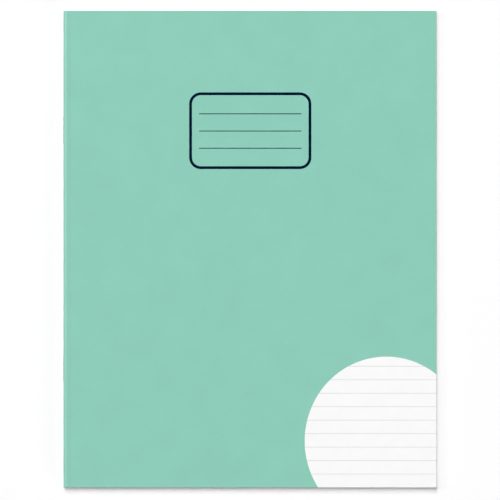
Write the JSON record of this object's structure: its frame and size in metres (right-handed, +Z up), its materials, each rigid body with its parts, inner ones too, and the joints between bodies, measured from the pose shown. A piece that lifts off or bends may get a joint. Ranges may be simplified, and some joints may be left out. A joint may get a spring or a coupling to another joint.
{
  "type": "stapled exercise book",
  "caption": "Closed stapled exercise book: plain card cover with a blank label box, ruled paper sheets folded and nested inside, wire staples through the spine; opens at any leaf.",
  "frame": {"origin": "under the middle of the closed book, on the surface that it lies on", "axes": "+X from the spine to the fore edge, +Y from tail to head, +Z up through the thickness"},
  "size_m": [0.1802, 0.23, 0.0035],
  "materials": {
    "cover_card": "smooth mint green card, coloured on both sides",
    "page_paper": "white writing paper with pale grey feint rulings",
    "staple_wire": "bright galvanised steel wire"
  },
  "bodies": {
    "back_cover": {"back_cover": "cover_card"},
    "leaf_24": {"sheet_01_back_leaf": "page_paper"},
    "leaf_23": {"sheet_02_back_leaf": "page_paper"},
    "leaf_22": {"sheet_03_back_leaf": "page_paper"},
    "leaf_21": {"sheet_04_back_leaf": "page_paper"},
    "leaf_20": {"sheet_05_back_leaf": "page_paper"},
    "leaf_19": {"sheet_06_back_leaf": "page_paper"},
    "leaf_18": {"sheet_07_back_leaf": "page_paper"},
    "leaf_17": {"sheet_08_back_leaf": "page_paper"},
    "leaf_16": {"sheet_09_back_leaf": "page_paper"},
    "leaf_15": {"sheet_10_back_leaf": "page_paper"},
    "leaf_14": {"sheet_11_back_leaf": "page_paper"},
    "leaf_13": {"sheet_12_back_leaf": "page_paper"},
    "leaf_12": {"sheet_12_front_leaf": "page_paper"},
    "leaf_11": {"sheet_11_front_leaf": "page_paper"},
    "leaf_10": {"sheet_10_front_leaf": "page_paper"},
    "leaf_09": {"sheet_09_front_leaf": "page_paper"},
    "leaf_08": {"sheet_08_front_leaf": "page_paper"},
    "leaf_07": {"sheet_07_front_leaf": "page_paper"},
    "leaf_06": {"sheet_06_front_leaf": "page_paper"},
    "leaf_05": {"sheet_05_front_leaf": "page_paper"},
    "leaf_04": {"sheet_04_front_leaf": "page_paper"},
    "leaf_03": {"sheet_03_front_leaf": "page_paper"},
    "leaf_02": {"sheet_02_front_leaf": "page_paper"},
    "leaf_01": {"sheet_01_front_leaf": "page_paper"},
    "front_cover": {"front_cover": "cover_card"},
    "spine": {"cover_spine": "cover_card", "sheet_01_fold": "page_paper", "sheet_02_fold": "page_paper", "sheet_03_fold": "page_paper", "sheet_04_fold": "page_paper", "sheet_05_fold": "page_paper", "sheet_06_fold": "page_paper", "sheet_07_fold": "page_paper", "sheet_08_fold": "page_paper", "sheet_09_fold": "page_paper", "sheet_10_fold": "page_paper", "sheet_11_fold": "page_paper", "sheet_12_fold": "page_paper", "head_staple": "staple_wire", "tail_staple": "staple_wire"}
  },
  "joints": [
    {"name": "leaf_24_hinge", "type": "hinge", "parent": "back_cover", "child": "leaf_24", "pos_m": [-0.0881, 0, 0.00177], "axis": [0, -1, 0], "range_deg": [0, 180]},
    {"name": "leaf_23_hinge", "type": "hinge", "parent": "leaf_24", "child": "leaf_23", "pos_m": [-0.0881, 0, 0.00177], "axis": [0, -1, 0], "range_deg": [0, 180]},
    {"name": "leaf_22_hinge", "type": "hinge", "parent": "leaf_23", "child": "leaf_22", "pos_m": [-0.0881, 0, 0.00177], "axis": [0, -1, 0], "range_deg": [0, 180]},
    {"name": "leaf_21_hinge", "type": "hinge", "parent": "leaf_22", "child": "leaf_21", "pos_m": [-0.0881, 0, 0.00177], "axis": [0, -1, 0], "range_deg": [0, 180]},
    {"name": "leaf_20_hinge", "type": "hinge", "parent": "leaf_21", "child": "leaf_20", "pos_m": [-0.0881, 0, 0.00177], "axis": [0, -1, 0], "range_deg": [0, 180]},
    {"name": "leaf_19_hinge", "type": "hinge", "parent": "leaf_20", "child": "leaf_19", "pos_m": [-0.0881, 0, 0.00177], "axis": [0, -1, 0], "range_deg": [0, 180]},
    {"name": "leaf_18_hinge", "type": "hinge", "parent": "leaf_19", "child": "leaf_18", "pos_m": [-0.0881, 0, 0.00177], "axis": [0, -1, 0], "range_deg": [0, 180]},
    {"name": "leaf_17_hinge", "type": "hinge", "parent": "leaf_18", "child": "leaf_17", "pos_m": [-0.0881, 0, 0.00177], "axis": [0, -1, 0], "range_deg": [0, 180]},
    {"name": "leaf_16_hinge", "type": "hinge", "parent": "leaf_17", "child": "leaf_16", "pos_m": [-0.0881, 0, 0.00177], "axis": [0, -1, 0], "range_deg": [0, 180]},
    {"name": "leaf_15_hinge", "type": "hinge", "parent": "leaf_16", "child": "leaf_15", "pos_m": [-0.0881, 0, 0.00177], "axis": [0, -1, 0], "range_deg": [0, 180]},
    {"name": "leaf_14_hinge", "type": "hinge", "parent": "leaf_15", "child": "leaf_14", "pos_m": [-0.0881, 0, 0.00177], "axis": [0, -1, 0], "range_deg": [0, 180]},
    {"name": "leaf_13_hinge", "type": "hinge", "parent": "leaf_14", "child": "leaf_13", "pos_m": [-0.0881, 0, 0.00177], "axis": [0, -1, 0], "range_deg": [0, 180]},
    {"name": "centre_spread_hinge", "type": "hinge", "parent": "leaf_13", "child": "leaf_12", "pos_m": [-0.0881, 0, 0.00177], "axis": [0, -1, 0], "range_deg": [0, 180], "deforming": ["cover_spine", "sheet_01_fold", "sheet_02_fold", "sheet_03_fold", "sheet_04_fold", "sheet_05_fold", "sheet_06_fold", "sheet_07_fold", "sheet_08_fold", "sheet_09_fold", "sheet_10_fold", "sheet_11_fold", "sheet_12_fold"]},
    {"name": "leaf_11_hinge", "type": "hinge", "parent": "leaf_12", "child": "leaf_11", "pos_m": [-0.0881, 0, 0.00177], "axis": [0, -1, 0], "range_deg": [0, 180]},
    {"name": "leaf_10_hinge", "type": "hinge", "parent": "leaf_11", "child": "leaf_10", "pos_m": [-0.0881, 0, 0.00177], "axis": [0, -1, 0], "range_deg": [0, 180]},
    {"name": "leaf_09_hinge", "type": "hinge", "parent": "leaf_10", "child": "leaf_09", "pos_m": [-0.0881, 0, 0.00177], "axis": [0, -1, 0], "range_deg": [0, 180]},
    {"name": "leaf_08_hinge", "type": "hinge", "parent": "leaf_09", "child": "leaf_08", "pos_m": [-0.0881, 0, 0.00177], "axis": [0, -1, 0], "range_deg": [0, 180]},
    {"name": "leaf_07_hinge", "type": "hinge", "parent": "leaf_08", "child": "leaf_07", "pos_m": [-0.0881, 0, 0.00177], "axis": [0, -1, 0], "range_deg": [0, 180]},
    {"name": "leaf_06_hinge", "type": "hinge", "parent": "leaf_07", "child": "leaf_06", "pos_m": [-0.0881, 0, 0.00177], "axis": [0, -1, 0], "range_deg": [0, 180]},
    {"name": "leaf_05_hinge", "type": "hinge", "parent": "leaf_06", "child": "leaf_05", "pos_m": [-0.0881, 0, 0.00177], "axis": [0, -1, 0], "range_deg": [0, 180]},
    {"name": "leaf_04_hinge", "type": "hinge", "parent": "leaf_05", "child": "leaf_04", "pos_m": [-0.0881, 0, 0.00177], "axis": [0, -1, 0], "range_deg": [0, 180]},
    {"name": "leaf_03_hinge", "type": "hinge", "parent": "leaf_04", "child": "leaf_03", "pos_m": [-0.0881, 0, 0.00177], "axis": [0, -1, 0], "range_deg": [0, 180]},
    {"name": "leaf_02_hinge", "type": "hinge", "parent": "leaf_03", "child": "leaf_02", "pos_m": [-0.0881, 0, 0.00177], "axis": [0, -1, 0], "range_deg": [0, 180]},
    {"name": "leaf_01_hinge", "type": "hinge", "parent": "leaf_02", "child": "leaf_01", "pos_m": [-0.0881, 0, 0.00177], "axis": [0, -1, 0], "range_deg": [0, 180]},
    {"name": "front_cover_hinge", "type": "hinge", "parent": "leaf_01", "child": "front_cover", "pos_m": [-0.0881, 0, 0.00177], "axis": [0, -1, 0], "range_deg": [0, 180]},
    {"name": "spine_roll", "type": "hinge", "parent": "leaf_13", "child": "spine", "pos_m": [-0.0881, 0, 0.00177], "axis": [0, -1, 0], "range_deg": [0, 90]}
  ],
  "couplings": [
    {"joint": "spine_roll", "follows": "centre_spread_hinge", "ratio": 0.5}
  ]
}
